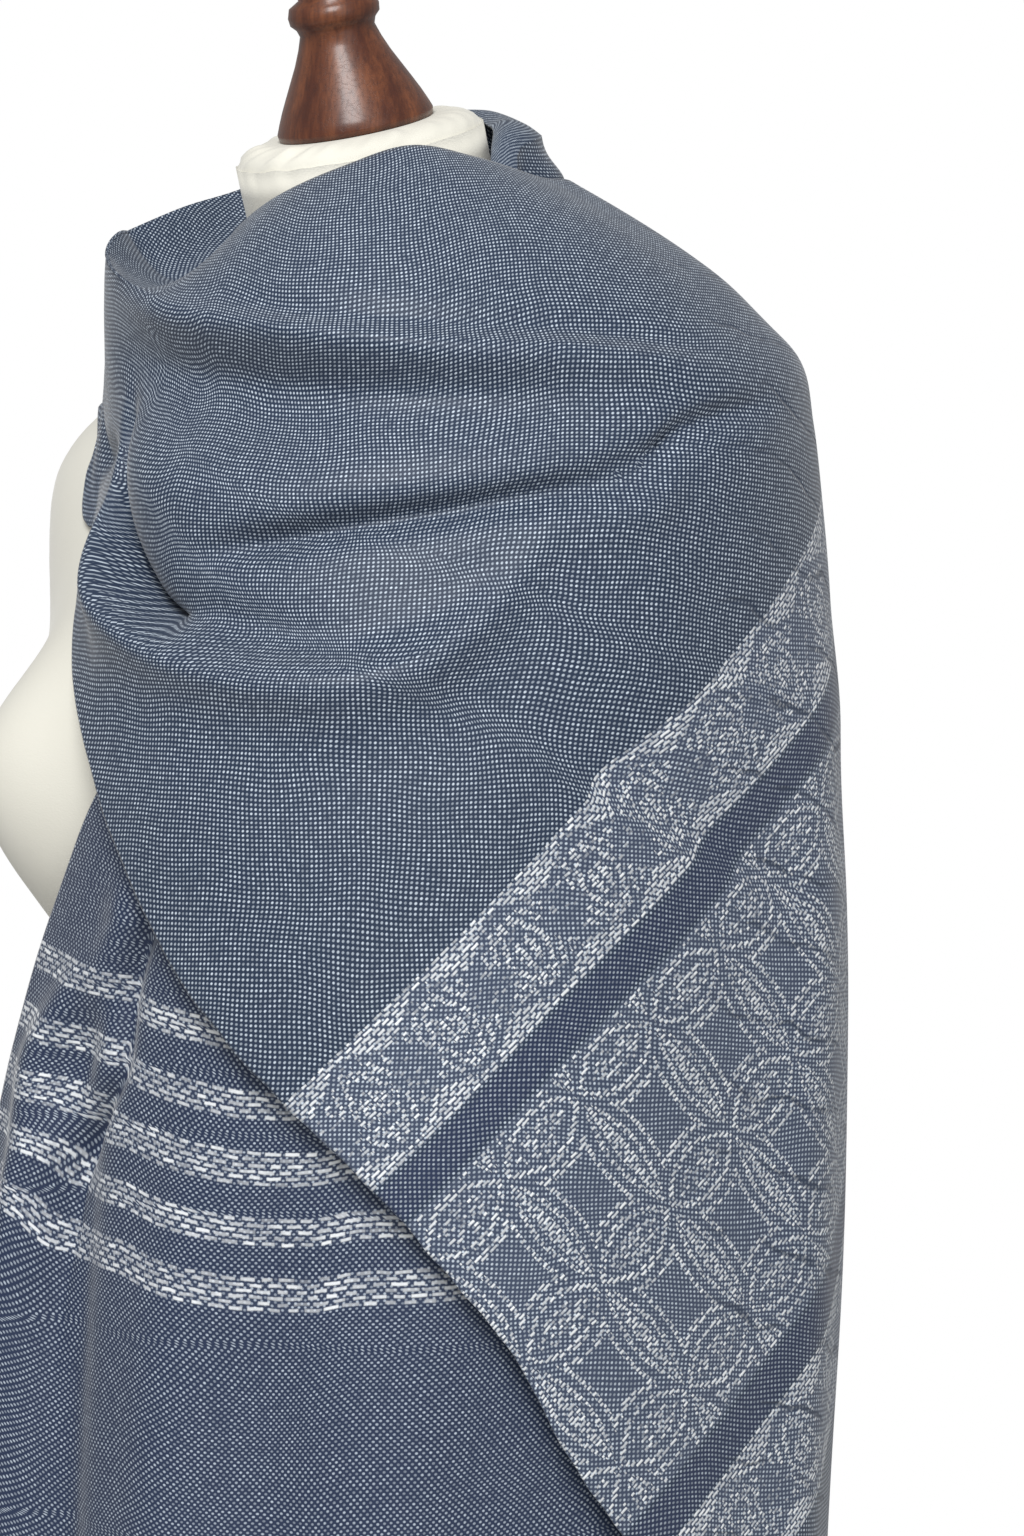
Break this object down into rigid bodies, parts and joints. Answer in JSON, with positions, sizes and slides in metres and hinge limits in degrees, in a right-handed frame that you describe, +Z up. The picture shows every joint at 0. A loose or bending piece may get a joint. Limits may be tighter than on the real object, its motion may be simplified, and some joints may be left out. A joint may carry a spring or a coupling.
{
  "type": "silk shawl on limbless dress form",
  "caption": "Blue-grey handwoven silk shawl with woven borders, wound round a limbless cream dress form.",
  "frame": {"origin": "middle of the underside of the round base", "axes": "+Z up, the dress form faces -Y, its own left side is +X"},
  "size_m": [0.39, 0.3854, 1.0207],
  "materials": {
    "silk": "plain weave, soft sheen",
    "jersey": "matt jersey",
    "wood": "varnished, turned",
    "steel": "satin"
  },
  "bodies": {
    "root": {"scarf_wrap": "silk", "scarf_collar": "silk", "scarf_end": "silk", "form_torso": "jersey", "form_neck_cap": "jersey", "neck_finial": "wood", "stand_pole": "steel", "stand_base": "wood"}
  },
  "joints": []
}
